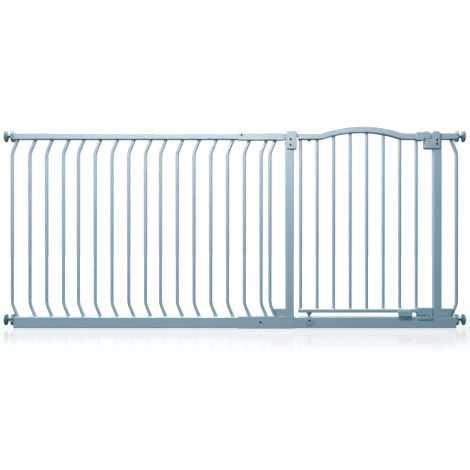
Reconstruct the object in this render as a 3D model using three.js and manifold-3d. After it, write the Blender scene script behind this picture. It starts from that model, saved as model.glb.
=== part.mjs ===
// Pressure-fit safety gate with a long bar extension on its hinge side.
// Millimetres, +Z up, +X to the viewer's right, the viewer stands at -Y. The floor is z = 0.
import * as THREE from "three";
import { mergeVertices } from "three/addons/utils/BufferGeometryUtils.js";
import Module from "manifold-3d";

const wasm = await Module();
wasm.setup();

// ---- Driving dimensions ----
const railTopHeight = 755; // floor to the upper face of the top rails
const openingWidth = 539; // between the facing sides of the two posts
const railDepth = 25; // front to back, also of the posts
const topRailHeight = 25;
const bottomRailHeight = 43;
const tubeWall = 1.5;
const tubeCorner = 3;
const postWidth = 32;
const fitGap = 0.3; // between pieces that touch
const channelWall = 1.2;

const barDiameter = 13;
const barWall = 1;
const barPitch = 65;
const barGroups = [4, 5, 7]; // bars of the extension, in the groups between its narrower gaps
const groupPitch = 58;
const barBow = 21; // how far a bar's straight middle stands off its feet
const barBendHeight = 51; // from a rail to the corner of the bend
const barBendRadius = 70;

const wallToRail = 35; // from a wall to the end of a rail
const footInset = 17; // from the end of a rail to the foot of its first bar
const lastFootInset = 13.5;
const railJoint = 4; // between the extension's rails and the frame's
const footToPost = 55;
const channelOverlap = 124; // how far the joining channels reach over the extension
const footPlateHeight = 32;

const doorEndGap = 17; // from the hinge post to the end of the door's rails
const hingeOffset = 60; // from the hinge post to the door's axis
const doorBarCount = 8;
const doorBarDiameter = 12;
const firstDoorBar = 26.9; // from the hinge post
const lastDoorBar = 63.9; // from the latch post
const doorLowRailHeight = 14.5;
const underDoor = 16.5; // between the frame's bottom rail and the door's
const archRise = 27;
const archFillet = 70;
const archStartOffset = 93.5; // from the hinge post
const archEndOffset = 108.5; // from the latch post
const doorLift = 8; // that frees the latch

const hingePinRadius = 4;
const stemRadius = 3.5;
const socketDrop = 15.2; // from the top of the bottom rail to the socket's middle
const socketRadius = 17;

const handleLength = 57;
const handleEndGap = 10.5; // from the handle to the latch post
const railInHandle = 26;
const handleNose = 26; // the part of the handle that lies on the receiver's tray
const coverWall = 4;
const lowHousingEndGap = 4;
const lowHousingLength = 60;
const lowHousingBottom = 6.5; // above the bottom rail
const sliderTravel = 8;
const sliderNeck = 12;

const bracketReach = 11; // past the hinge post's face
const bracketDrop = 62; // below the top of the rails
const bracketRise = 8;
const receiverReach = 7;
const receiverDrop = 61;
const receiverRise = 7;
const trayReach = 33;
const trayDrop = 23; // from the top of the rails to the tray
const pegLength = 10;
const pegClearance = 0.6;
const catchLength = 59;
const lipThickness = 3;
const lipHeight = 5; // above the bottom rail
const stopLength = 54;
const stopOffset = 84; // from the latch post

const spindleRadius = 5;
const padRadius = 22;
const padThickness = 10;
const nutRadius = 22.5;
const nutThickness = 13;
const lowSpindleDrop = 11.5; // from the top of the bottom rail
const spindleTravelIn = 10; // its travel outwards leaves 14 mm of it in the tube

// ---- Places worked out from them ----
const bottomRailLow = channelWall + fitGap;
const bottomRailTop = bottomRailLow + bottomRailHeight;
const doorLowRailBottom = bottomRailTop + underDoor;
const socketHeight = bottomRailTop - socketDrop;
const lowSpindleHeight = bottomRailTop - lowSpindleDrop;
const topRailLow = railTopHeight - topRailHeight;
const topRailMiddle = railTopHeight - topRailHeight / 2;
const halfDepth = railDepth / 2;
const halfPost = postWidth / 2;
const bowAngle = Math.atan(barBow / barBendHeight);

const extensionFeet = [];
barGroups.forEach((count, group) => {
  const start = group ? extensionFeet.at(-1) + groupPitch : wallToRail + footInset;
  for (let bar = 0; bar < count; bar++) extensionFeet.push(start + bar * barPitch);
});
extensionFeet[0] -= footInset - lastFootInset;
const extensionEnd = extensionFeet.at(-1) + lastFootInset;
const frameStart = extensionEnd + railJoint;
const hingeFoot = frameStart + footInset;
const hingePost = hingeFoot + footToPost;
const hingePostFace = hingePost + halfPost;
const latchPostFace = hingePostFace + openingWidth;
const latchPost = latchPostFace + halfPost;
const latchFoot = latchPost + footToPost;
const frameEnd = latchFoot + footInset;
const overallWidth = frameEnd + wallToRail;

const doorStart = hingePostFace + doorEndGap;
const hingeAxis = hingePostFace + hingeOffset;
const handleEnd = latchPostFace - handleEndGap;
const handleStart = handleEnd - handleLength;
const doorEnd = handleStart + railInHandle;
const lowHousingEnd = latchPostFace - lowHousingEndGap;
const lowHousingStart = lowHousingEnd - lowHousingLength;
const doorLowRailTop = doorLowRailBottom + doorLowRailHeight;
const coverHalf = halfDepth + fitGap + coverWall;
const pegEnd = handleEnd - 8.5;
const sliderEnd = handleEnd - 8.5;
const sliderStart = sliderEnd - sliderNeck;
const spindleInRail = footInset + footToPost - halfPost - spindleTravelIn - 2;
const archStart = hingePostFace + archStartOffset;
const archEnd = latchPostFace - archEndOffset;
const archTop = (archStart + archEnd) / 2;
const archSpan = (archEnd - archStart) / 2;
const archTurn = 2 * Math.atan(archRise / archSpan); // its slope where the fillets meet the round
const archRadius = archSpan / Math.sin(archTurn) - archFillet;

// ---- Materials ----
const paint = (color) =>
  new THREE.MeshStandardMaterial({ color, roughness: 0.45, metalness: 0.35 });
const plastic = (color) =>
  new THREE.MeshStandardMaterial({ color, roughness: 0.55, metalness: 0 });
const framePaint = paint(0x9db5bf);
const doorPaint = paint(0xa6bdc6);
const coverPlastic = plastic(0xa8c0c8);
const padRubber = plastic(0x5f7c84);
const nutPlastic = plastic(0x6d8b93);
const steel = new THREE.MeshStandardMaterial({ color: 0x5c6468, roughness: 0.35, metalness: 0.9 });

// ---- Shape helpers ----
function toSolid(geometry) {
  const bare = geometry.index ? geometry.toNonIndexed() : geometry.clone();
  bare.deleteAttribute("normal");
  bare.deleteAttribute("uv");
  const merged = mergeVertices(bare, 1e-4);
  const vertProperties = merged.attributes.position.array;
  const triVerts = new Uint32Array(merged.index.array);
  return new wasm.Manifold(new wasm.Mesh({ numProp: 3, vertProperties, triVerts }));
}

function toGeometry(solid) {
  const mesh = solid.getMesh();
  const geometry = new THREE.BufferGeometry();
  geometry.setAttribute("position", new THREE.BufferAttribute(mesh.vertProperties, 3));
  geometry.setIndex(new THREE.BufferAttribute(mesh.triVerts, 1));
  return geometry;
}

function cut(geometry, ...tools) {
  return toGeometry(tools.reduce((solid, tool) => solid.subtract(toSolid(tool)), toSolid(geometry)));
}

function join(...pieces) {
  return toGeometry(pieces.map(toSolid).reduce((solid, piece) => solid.add(piece)));
}

function keepInside(geometry, block) {
  return toGeometry(toSolid(geometry).intersect(toSolid(block)));
}

// A box given by its low and high corners.
function block(x0, x1, y0, y1, z0, z1) {
  const box = new THREE.BoxGeometry(x1 - x0, y1 - y0, z1 - z0);
  return box.translate((x0 + x1) / 2, (y0 + y1) / 2, (z0 + z1) / 2);
}

// A round bar from one point to another along X, Y or Z.
function rod(axis, radius, from, to, a, b, sides = 20) {
  const geometry = new THREE.CylinderGeometry(radius, radius, to - from, sides);
  const middle = (from + to) / 2;
  if (axis === "x") return geometry.rotateZ(-Math.PI / 2).translate(middle, a, b);
  if (axis === "y") return geometry.translate(a, middle, b);
  return geometry.rotateX(Math.PI / 2).translate(a, b, middle);
}

function roundedOutline(width, height, radius) {
  const x = width / 2;
  const y = height / 2;
  const shape = new THREE.Shape();
  shape.moveTo(-x + radius, -y);
  shape.lineTo(x - radius, -y);
  shape.absarc(x - radius, -y + radius, radius, -Math.PI / 2, 0);
  shape.absarc(x - radius, y - radius, radius, 0, Math.PI / 2);
  shape.absarc(-x + radius, y - radius, radius, Math.PI / 2, Math.PI);
  shape.absarc(-x + radius, -y + radius, radius, Math.PI, Math.PI * 1.5);
  return shape;
}

// A rounded rectangular tube, open at both ends. Its section lies in X and Y, and it runs along Z.
function boxTube(width, height, length) {
  const section = roundedOutline(width, height, tubeCorner);
  const inner = roundedOutline(width - 2 * tubeWall, height - 2 * tubeWall, tubeCorner - tubeWall);
  section.holes.push(inner);
  return new THREE.ExtrudeGeometry(section, { depth: length, bevelEnabled: false, curveSegments: 2 });
}

// The same tube along X, from x0 to x1, between two heights.
function railTube(x0, x1, z0, z1) {
  const tube = boxTube(z1 - z0, railDepth, x1 - x0).rotateY(Math.PI / 2);
  return tube.translate(x0, 0, (z0 + z1) / 2);
}

// An outline in X and Z, carried from y0 to y1.
function plateOf(points, y0, y1) {
  const outline = new THREE.Shape(points.map(([x, z]) => new THREE.Vector2(x, z)));
  const plate = new THREE.ExtrudeGeometry(outline, { depth: y1 - y0, bevelEnabled: false });
  return plate.rotateX(Math.PI / 2).translate(0, y1, 0);
}

// A path through given stations, which keeps exactly those stations when it is extruded.
class StationPath extends THREE.Curve {
  constructor(stations) {
    super();
    this.stations = stations;
  }
  getUtoTmapping(u) {
    return u;
  }
  getPoint(t, target = new THREE.Vector3()) {
    const spans = this.stations.length - 1;
    const index = Math.min(Math.floor(t * spans), spans - 1);
    return target.lerpVectors(this.stations[index], this.stations[index + 1], t * spans - index);
  }
  getTangent(t, target = new THREE.Vector3()) {
    const last = this.stations.length - 1;
    const index = Math.round(t * last);
    const before = this.stations[Math.max(index - 1, 0)];
    const here = this.stations[index];
    const after = this.stations[Math.min(index + 1, last)];
    const arriving = here.clone().sub(before).normalize();
    const leaving = after.clone().sub(here).normalize();
    return target.addVectors(arriving, leaving).normalize();
  }
}

function extrudeAlong(section, stations, curveSegments) {
  const extrudePath = new StationPath(stations);
  const steps = stations.length - 1;
  return new THREE.ExtrudeGeometry(section, { extrudePath, steps, curveSegments });
}

function ringSection(radius, wall) {
  const ring = new THREE.Shape();
  ring.absarc(0, 0, radius, 0, 2 * Math.PI);
  const hole = new THREE.Path();
  hole.absarc(0, 0, radius - wall, 0, 2 * Math.PI);
  ring.holes.push(hole);
  return ring;
}

// ---- Bars ----
// A bowed bar: its feet lean in at the rails, and its middle stands off them towards one side.
function bowedBar(side) {
  const lowCorner = bottomRailTop + barBendHeight;
  const highCorner = topRailLow - barBendHeight;
  const reach = barBendRadius * Math.tan(bowAngle / 2);
  const middle = side * barBow;
  const overrun = 8;
  const stations = [];
  const addBend = (cornerHeight, upwards) => {
    const steps = 3;
    for (let step = 0; step <= steps; step++) {
      const turned = (step / steps) * bowAngle;
      const along = barBendRadius * Math.sin(turned) - reach;
      const off = barBendRadius * (1 - Math.cos(turned));
      stations.push(new THREE.Vector3(middle - side * off, 0, cornerHeight + upwards * along));
    }
  };
  const foot = (height, past) =>
    new THREE.Vector3(-side * overrun * Math.tan(bowAngle), 0, height + past);
  addBend(lowCorner, -1);
  stations.push(foot(bottomRailTop, -overrun));
  stations.reverse();
  addBend(highCorner, 1);
  stations.push(foot(topRailLow, overrun));
  const bar = extrudeAlong(ringSection(barDiameter / 2, barWall), stations, 4);
  const between = block(-100, 100, -50, 50, bottomRailTop + fitGap, topRailLow - fitGap);
  return keepInside(bar, between);
}

function doorBar(height) {
  const bottom = doorLowRailTop + fitGap;
  const section = ringSection(doorBarDiameter / 2, barWall);
  const bar = new THREE.ExtrudeGeometry(section, { depth: height, bevelEnabled: false, curveSegments: 6 });
  return bar.translate(0, 0, bottom);
}

// ---- Rails, posts and channels ----
function frameBottomRail() {
  const rail = railTube(frameStart, frameEnd, bottomRailLow, bottomRailTop);
  const socketHole = rod("y", socketRadius - 4 + fitGap, -railDepth, 0, hingeAxis, socketHeight);
  const stemHole = rod("z", stemRadius + 1.5, socketHeight, bottomRailTop + 5, hingeAxis, 0);
  return cut(rail, socketHole, stemHole);
}

// A post with its foot plate, a hollow block that reaches from the post to the bowed bar beside it.
function post(side) {
  const bottom = bottomRailTop + fitGap;
  const outside = new THREE.ExtrudeGeometry(roundedOutline(postWidth, railDepth, tubeCorner), {
    depth: railTopHeight - bottom,
    bevelEnabled: false,
    curveSegments: 2,
  }).translate(0, 0, bottom);
  const slope = Math.tan(bowAngle);
  const barEdge = barDiameter / 2 / Math.cos(bowAngle) + fitGap;
  const plateLine = (height, inset) =>
    side * (footToPost - barEdge - inset + slope * (height - bottomRailTop));
  const plateTop = bottom + footPlateHeight;
  const outline = (inset, top) => [
    [side * (halfPost - 3 - inset), bottom - (inset ? 5 : 0)],
    [plateLine(bottom, inset), bottom - (inset ? 5 : 0)],
    [plateLine(top, inset), top],
    [side * (halfPost - 3 - inset), top],
  ];
  const plate = plateOf(outline(0, plateTop), -halfDepth, halfDepth);
  const inner = halfDepth - tubeWall;
  const plateHollow = plateOf(outline(tubeWall, plateTop - tubeWall), -inner, inner);
  const across = halfPost - tubeWall;
  const postHollow = block(-across, across, -inner, inner, bottom - 5, railTopHeight - tubeWall);
  return cut(join(outside, plate), plateHollow, postHollow);
}

// A U-shaped channel that wraps a rail's front, back and one more face.
function joiningChannel(x0, x1, railLow, railHigh, webBelow) {
  const outerHalf = halfDepth + fitGap + channelWall;
  const innerHalf = halfDepth + fitGap;
  const past = fitGap + channelWall;
  const outer = block(x0, x1, -outerHalf, outerHalf, railLow - past, railHigh + past);
  const low = webBelow ? railLow - fitGap : railLow - 10;
  const high = webBelow ? railHigh + 10 : railHigh + fitGap;
  return cut(outer, block(x0 - 1, x1 + 1, -innerHalf, innerHalf, low, high));
}

// ---- Hinge ----
// A cover that wraps one side and the top of a post. side is +1 when it wraps the right side.
function postCover(side, reach, overlap, low, high) {
  const outer = plateOf(
    [
      [side * (halfPost - overlap), low],
      [side * (halfPost + reach), low],
      [side * (halfPost + reach), high - 4],
      [side * (halfPost + reach - 4), high],
      [side * (halfPost - overlap), high],
    ],
    -coverHalf,
    coverHalf,
  );
  const hollowStart = side * (halfPost - overlap - 1);
  const hollowEnd = side * (halfPost + fitGap);
  const hollow = block(
    Math.min(hollowStart, hollowEnd),
    Math.max(hollowStart, hollowEnd),
    -halfDepth - fitGap,
    halfDepth + fitGap,
    low - 1,
    railTopHeight + fitGap,
  );
  return cut(outer, hollow);
}

const armLow = topRailLow + tubeWall + doorLift + 1.5;
const armHigh = railTopHeight - tubeWall - 1.5;
const armEye = 7;

function hingeBracket() {
  const low = railTopHeight - bracketDrop;
  const cover = postCover(1, bracketReach, postWidth - 5, low, railTopHeight + bracketRise);
  const axis = hingeOffset + halfPost;
  const arm = block(halfPost + bracketReach - 3, axis, -5, 5, armLow, armHigh);
  const eye = rod("z", armEye, armLow, armHigh, axis, 0);
  const bore = rod("z", hingePinRadius + fitGap, armLow - 1, armHigh + 1, axis, 0);
  return cut(join(cover, arm, eye), bore);
}

function hingePin() {
  const head = rod("z", 7, topRailLow - 5, topRailLow - fitGap, 0, 0);
  const shank = rod("z", hingePinRadius, topRailLow - 3, railTopHeight - tubeWall - fitGap, 0, 0);
  return join(head, shank);
}

function hingeSocket() {
  const front = -halfDepth - fitGap;
  const flange = rod("y", socketRadius, front - 2.5, front, 0, socketHeight, 32);
  const body = rod("y", socketRadius - 4, front - 1, halfDepth - tubeWall - fitGap, 0, socketHeight, 24);
  const bore = rod("z", stemRadius + fitGap, socketHeight - 6, socketHeight + 30, 0, 0);
  return cut(join(flange, body), bore);
}

// The stem's cup under the door: a straight skirt, then a taper down to the stem.
function hingeCam() {
  const top = doorLowRailBottom - fitGap;
  const bore = stemRadius + fitGap;
  const outline = [
    [bore, top],
    [9.6, top],
    [9.6, top - 4.5],
    [7, top - 9],
    [5, top - 11.2],
    [bore, top - 11.2],
    [bore, top],
  ];
  const lathe = new THREE.LatheGeometry(outline.map(([r, z]) => new THREE.Vector2(r, z)).reverse(), 24);
  return lathe.rotateX(Math.PI / 2);
}

function pivotStem() {
  return rod("z", stemRadius, socketHeight - 5.7, doorLowRailBottom - 1, 0, 0);
}

// ---- Door ----
// The arched rail: flat, a hollow fillet, a round arch, a fillet and flat again.
function doorTopRail() {
  const filletSteps = 3;
  const archSteps = 12;
  const stations = [new THREE.Vector3(doorStart, 0, topRailMiddle)];
  for (let step = 0; step <= filletSteps; step++) {
    const turned = (step / filletSteps) * archTurn;
    const rise = archFillet * (1 - Math.cos(turned));
    stations.push(
      new THREE.Vector3(archTop - archSpan + archFillet * Math.sin(turned), 0, topRailMiddle + rise),
    );
  }
  for (let step = 1; step < archSteps; step++) {
    const turned = archTurn * ((2 * step) / archSteps - 1);
    const drop = archRadius * (1 - Math.cos(turned));
    stations.push(
      new THREE.Vector3(archTop + archRadius * Math.sin(turned), 0, topRailMiddle + archRise - drop),
    );
  }
  for (let step = filletSteps; step >= 0; step--) {
    const turned = (step / filletSteps) * archTurn;
    const rise = archFillet * (1 - Math.cos(turned));
    stations.push(
      new THREE.Vector3(archTop + archSpan - archFillet * Math.sin(turned), 0, topRailMiddle + rise),
    );
  }
  stations.push(new THREE.Vector3(doorEnd, 0, topRailMiddle));
  const section = roundedOutline(topRailHeight, railDepth, tubeCorner);
  const inside = topRailHeight - 2 * tubeWall;
  section.holes.push(roundedOutline(inside, inside, tubeCorner - tubeWall));
  const rail = extrudeAlong(section, stations, 1);
  const armSlot = block(
    doorStart - 5,
    hingeAxis + armEye + 0.5,
    halfDepth - tubeWall - 1,
    halfDepth + 5,
    armLow - doorLift - 1,
    armHigh + 1,
  );
  const pinHole = rod("z", hingePinRadius + fitGap, topRailLow - 5, topRailLow + 5, hingeAxis, 0);
  return cut(rail, armSlot, pinHole);
}

// The notch that both latch housings have round the door's last bar.
function lastBarNotch(low, high) {
  return rod("z", doorBarDiameter / 2 + fitGap, low, high, latchPostFace - lastDoorBar, 0, 24);
}

function handleHousing() {
  const low = topRailLow - coverWall;
  const high = railTopHeight + coverWall;
  const nose = railTopHeight - trayDrop;
  const peg = block(pegEnd - pegLength, pegEnd, -5, 5, nose - doorLift + 0.5, nose + 3);
  const shell = plateOf(
    [
      [handleStart, low],
      [handleEnd - handleNose - 4, low],
      [handleEnd - handleNose, nose],
      [handleEnd - 1, nose],
      [handleEnd, nose + 6],
      [handleEnd - 3, high - 3],
      [handleEnd - 6, high],
      [handleStart, high],
    ],
    -coverHalf,
    coverHalf,
  );
  const inner = halfDepth + fitGap;
  const railPocket = block(
    handleStart - 1,
    doorEnd + fitGap,
    -inner,
    inner,
    topRailLow - fitGap,
    railTopHeight + fitGap,
  );
  const works = block(doorEnd, handleEnd - 7, -11, 11, nose + 5, railTopHeight + fitGap);
  const slot = block(sliderStart - sliderTravel - 0.5, sliderEnd + 0.5, -3.3, 3.3, high - 6, high + 1);
  const barNotch = lastBarNotch(low - 1, topRailLow);
  return cut(join(shell, peg), railPocket, works, slot, barNotch);
}

// The thumb slider: a ridged cap on the handle, a neck through its slot and a foot inside.
function lockSlider() {
  const top = railTopHeight + coverWall;
  const cap = block(sliderStart - 3.5, sliderEnd + 2.5, -9, 9, top + fitGap, top + 3);
  const neck = block(sliderStart, sliderEnd, -3, 3, railTopHeight - 3, top + 1);
  const foot = block(sliderStart, sliderEnd, -7, 7, railTopHeight - 5, railTopHeight - 1);
  return join(cap, neck, foot);
}

// ---- Latch ----
function latchReceiver() {
  const trayTop = railTopHeight - trayDrop - fitGap;
  const low = railTopHeight - receiverDrop;
  const cover = postCover(-1, receiverReach, postWidth - 7, low, railTopHeight + receiverRise);
  const trayStart = -halfPost - trayReach;
  const tray = block(trayStart, -halfPost - 3, -coverHalf, coverHalf, low, trayTop);
  const end = pegEnd - latchPost + pegClearance;
  const start = end - pegLength - 2 * pegClearance;
  const half = 5 + pegClearance;
  const pocket = block(start, end, -half, half, trayTop - doorLift - 1, trayTop + 1);
  return cut(join(cover, tray), pocket);
}

function lowerLatchHousing() {
  const low = bottomRailTop + lowHousingBottom;
  const high = doorLowRailTop + 4.5;
  const end = lowHousingEnd;
  const shell = plateOf(
    [
      [lowHousingStart + 5, low],
      [end - 25, low],
      [end - 25, bottomRailTop + 1.9],
      [end - 8, bottomRailTop + 1.9],
      [end - 6, low],
      [end, low + 4],
      [end, high - 3],
      [end - 3, high],
      [lowHousingStart, high],
      [lowHousingStart, doorLowRailBottom],
    ],
    -coverHalf + 0.8,
    coverHalf - 0.8,
  );
  const thick = coverHalf;
  const noseFront = block(end - 26, end - 5, -thick, -halfDepth + 0.2, bottomRailTop, low);
  const noseBack = block(end - 26, end - 5, halfDepth - 0.2, thick, bottomRailTop, low);
  const inner = halfDepth + fitGap;
  const pocket = block(
    lowHousingStart - 1,
    doorEnd + fitGap,
    -inner,
    inner,
    doorLowRailBottom - fitGap,
    doorLowRailTop + fitGap,
  );
  const barNotch = lastBarNotch(doorLowRailTop, high + 1);
  return cut(shell, noseFront, noseBack, pocket, barNotch);
}

// A saddle over the bottom rail whose two lips hold the nose of the lower latch.
function lowerCatch() {
  const x1 = latchPostFace - 1;
  const x0 = x1 - catchLength;
  const inner = halfDepth + fitGap;
  const outer = inner + lipThickness;
  const top = bottomRailTop + lipHeight;
  const web = block(x0, x1, -outer, outer, bottomRailTop + fitGap, bottomRailTop + 1.5);
  const front = block(x0, x1, -outer, -inner, bottomRailTop - 9.5, top);
  const back = block(x0, x1, inner, outer, bottomRailTop - 9.5, top);
  return join(web, front, back);
}

// The stop that the closed door rests against: a plate in front of its bottom rail.
function doorStop() {
  const x1 = latchPostFace - stopOffset;
  const x0 = x1 - stopLength;
  const back = -halfDepth - fitGap;
  const top = doorLowRailBottom + 8;
  const flange = block(x0 + 3, x1 - 3, back - lipThickness, back, bottomRailTop - 8, bottomRailTop + 4);
  const plate = plateOf(
    [
      [x0 + 6, bottomRailTop + 2],
      [x1, bottomRailTop + 2],
      [x1, top - 2],
      [x1 - 2, top],
      [x0, top],
      [x0, bottomRailTop + 9],
    ],
    back - 8,
    back - 0.2,
  );
  return join(flange, plate);
}

// ---- Pressure mounts, built for the left side and turned for the right ----
function spindle() {
  return rod("x", spindleRadius, padThickness - 3, wallToRail + spindleInRail, 0, 0, 16);
}

function adjustingNut() {
  const end = wallToRail - fitGap;
  const start = end - nutThickness;
  const wheel = rod("x", nutRadius, start, end, 0, 0, 32);
  const grips = [];
  const gripCount = 8;
  for (let grip = 0; grip < gripCount; grip++) {
    const angle = (2 * Math.PI * grip) / gripCount;
    const ring = nutRadius + 3;
    grips.push(rod("x", 5, start - 1, end + 1, ring * Math.cos(angle), ring * Math.sin(angle), 12));
  }
  const bore = rod("x", spindleRadius + fitGap, start - 1, end + 1, 0, 0, 16);
  return cut(wheel, bore, ...grips);
}

function wallPad() {
  const disc = rod("x", padRadius, 0, padThickness, 0, 0, 32);
  const seat = rod("x", spindleRadius + fitGap, padThickness - 3 - fitGap, padThickness + 1, 0, 0, 16);
  return cut(disc, seat);
}

// ---- Assembly ----
function part(name, geometry, material, x = 0, z = 0) {
  const mesh = new THREE.Mesh(geometry, material);
  mesh.name = name;
  mesh.position.set(x, 0, z);
  return mesh;
}

function pressureMount(label, height, atRight) {
  const mount = new THREE.Group();
  mount.position.set(atRight ? overallWidth : 0, 0, height);
  mount.rotation.z = atRight ? Math.PI : 0;
  mount.add(part(`${label}_spindle`, spindle(), steel));
  mount.add(part(`${label}_adjusting_nut`, adjustingNut(), nutPlastic));
  mount.add(part(`${label}_wall_pad`, wallPad(), padRubber));
  return mount;
}

function extension() {
  const group = new THREE.Group();
  const topRail = railTube(wallToRail, extensionEnd, topRailLow, railTopHeight);
  const bottomRail = railTube(wallToRail, extensionEnd, bottomRailLow, bottomRailTop);
  group.add(part("extension_top_rail", topRail, framePaint));
  group.add(part("extension_bottom_rail", bottomRail, framePaint));
  extensionFeet.forEach((foot, index) => {
    const number = String(index + 1).padStart(2, "0");
    group.add(part(`extension_bar_${number}`, bowedBar(-1), framePaint, foot));
  });
  return group;
}

function baseFrame() {
  const frame = new THREE.Group();
  const hingeTube = railTube(frameStart, hingePost - halfPost - fitGap, topRailLow, railTopHeight);
  const latchTube = railTube(latchPost + halfPost + fitGap, frameEnd, topRailLow, railTopHeight);
  const channelStart = extensionEnd - channelOverlap;
  const topChannelEnd = hingePost - halfPost - 6;
  const topChannel = joiningChannel(channelStart, topChannelEnd, topRailLow, railTopHeight, false);
  const lowChannelEnd = hingePostFace + 4;
  const lowChannel = joiningChannel(channelStart, lowChannelEnd, bottomRailLow, bottomRailTop, true);
  frame.add(part("frame_bottom_rail", frameBottomRail(), framePaint));
  frame.add(part("hinge_post", post(-1), framePaint, hingePost));
  frame.add(part("latch_post", post(1), framePaint, latchPost));
  frame.add(part("hinge_side_top_tube", hingeTube, framePaint));
  frame.add(part("latch_side_top_tube", latchTube, framePaint));
  frame.add(part("hinge_side_bar", bowedBar(-1), framePaint, hingeFoot));
  frame.add(part("latch_side_bar", bowedBar(1), framePaint, latchFoot));
  frame.add(part("top_joining_channel", topChannel, framePaint));
  frame.add(part("bottom_joining_channel", lowChannel, framePaint));
  frame.add(part("upper_hinge_bracket", hingeBracket(), coverPlastic, hingePost));
  frame.add(part("lower_hinge_socket", hingeSocket(), coverPlastic, hingeAxis));
  frame.add(part("latch_receiver", latchReceiver(), coverPlastic, latchPost));
  frame.add(part("lower_catch", lowerCatch(), coverPlastic));
  frame.add(part("door_stop", doorStop(), coverPlastic));
  return frame;
}

function door() {
  const leaf = new THREE.Group();
  const lowRail = railTube(doorStart + 2, doorEnd, doorLowRailBottom, doorLowRailTop);
  leaf.add(part("lower_pivot_stem", pivotStem(), steel, hingeAxis));
  leaf.add(part("lower_hinge_cam", hingeCam(), coverPlastic, hingeAxis));
  leaf.add(part("upper_hinge_pin", hingePin(), steel, hingeAxis));
  leaf.add(part("door_top_rail", doorTopRail(), doorPaint));
  leaf.add(part("door_bottom_rail", lowRail, doorPaint));
  leaf.add(part("handle_housing", handleHousing(), coverPlastic));
  leaf.add(part("lower_latch_housing", lowerLatchHousing(), coverPlastic));
  leaf.add(part("lock_slider", lockSlider(), coverPlastic));
  const firstBar = hingePostFace + firstDoorBar;
  const lastBar = latchPostFace - lastDoorBar;
  for (let bar = 0; bar < doorBarCount; bar++) {
    const x = firstBar + ((lastBar - firstBar) * bar) / (doorBarCount - 1);
    const height = archUnderside(x) - doorLowRailTop - 2 * fitGap;
    leaf.add(part(`door_bar_${bar + 1}`, doorBar(height), doorPaint, x));
  }
  return leaf;
}

// The lowest point of the arched rail's underside over one bar.
function archUnderside(x) {
  const halfRail = topRailHeight / 2;
  const outerFillet = archFillet + halfRail;
  const innerArch = archRadius - halfRail;
  const away = Math.abs(x - archTop) + doorBarDiameter / 2;
  if (away >= archSpan) return topRailLow;
  if (away > innerArch * Math.sin(archTurn)) {
    return topRailMiddle + archFillet - Math.sqrt(outerFillet ** 2 - (archSpan - away) ** 2);
  }
  return topRailMiddle + archRise - archRadius + Math.sqrt(innerArch ** 2 - away ** 2);
}

const gate = new THREE.Group();
gate.position.x = -overallWidth / 2;
gate.add(extension(), baseFrame(), door());
for (const atRight of [false, true]) {
  const side = atRight ? "right" : "left";
  gate.add(pressureMount(`upper_${side}`, topRailMiddle, atRight));
  gate.add(pressureMount(`lower_${side}`, lowSpindleHeight, atRight));
}

export default gate;
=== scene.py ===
# A wide pressure-fit safety gate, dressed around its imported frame. Metres, +Z up, the viewer stands at -Y.
import math
import bpy
import numpy as np
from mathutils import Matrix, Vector


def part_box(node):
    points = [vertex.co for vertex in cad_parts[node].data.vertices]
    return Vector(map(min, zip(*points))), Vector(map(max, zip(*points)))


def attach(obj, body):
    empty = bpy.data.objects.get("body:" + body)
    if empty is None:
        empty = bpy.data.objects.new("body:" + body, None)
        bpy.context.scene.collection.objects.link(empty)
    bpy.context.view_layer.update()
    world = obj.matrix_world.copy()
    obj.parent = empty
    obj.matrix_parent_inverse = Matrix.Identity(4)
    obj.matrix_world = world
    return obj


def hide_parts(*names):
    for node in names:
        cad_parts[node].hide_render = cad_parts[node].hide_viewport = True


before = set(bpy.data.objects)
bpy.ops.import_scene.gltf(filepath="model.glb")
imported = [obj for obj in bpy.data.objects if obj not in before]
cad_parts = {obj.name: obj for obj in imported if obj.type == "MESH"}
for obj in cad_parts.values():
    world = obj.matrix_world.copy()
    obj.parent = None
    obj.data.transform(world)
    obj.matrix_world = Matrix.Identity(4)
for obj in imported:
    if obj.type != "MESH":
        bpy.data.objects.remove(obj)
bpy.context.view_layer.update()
print("frame loaded:", len(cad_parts), "nodes")

scene = bpy.context.scene
scene.view_settings.view_transform = "Standard"


def lowHigh(node):
    # the two opposite corners of a node's box
    low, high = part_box(node)
    return np.array(low), np.array(high)


def midOf(box, axis):
    # half the sum of the two corners along one axis
    return float(box[0][axis] + box[1][axis]) / 2


def halfOf(box, axis):
    # half the distance between the two corners along one axis
    return float(box[1][axis] - box[0][axis]) / 2


# mesh tools

def gridFaces(rows, cols, closeRows, closeCols):
    # every face joins two neighbouring points of a row with the two below them
    r = np.arange(rows if closeRows else rows - 1)
    c = np.arange(cols if closeCols else cols - 1)
    rr, cc = np.meshgrid(r, c, indexing="ij")
    r2, c2 = (rr + 1) % rows, (cc + 1) % cols
    quads = np.stack([rr * cols + cc, rr * cols + c2, r2 * cols + c2, r2 * cols + cc], -1)
    return quads.reshape(-1, 4)


def enclosedVolume(points, faces):
    # a sixth of the sum of each corner triangle's box product
    a, b, c, d = (points[faces[:, k]] for k in range(4))
    return (np.cross(a, b) * c).sum() / 6 + (np.cross(a, c) * d).sum() / 6


def meshObject(name, points, faces, caps=(), smoothAngle=38):
    # points, four-sided faces and end caps as one smooth-shaded object with sharp edges past an angle
    points = points.reshape(-1, 3)
    polygons = [list(f) for f in faces.tolist()] + [list(c) for c in caps]
    mesh = bpy.data.meshes.new(name)
    mesh.from_pydata(points.tolist(), [], polygons)
    mesh.validate()
    mesh.polygons.foreach_set("use_smooth", np.ones(len(mesh.polygons), bool))
    mesh.set_sharp_from_angle(angle=math.radians(smoothAngle))
    mesh.update()
    piece = bpy.data.objects.new(name, mesh)
    scene.collection.objects.link(piece)
    return piece


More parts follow.
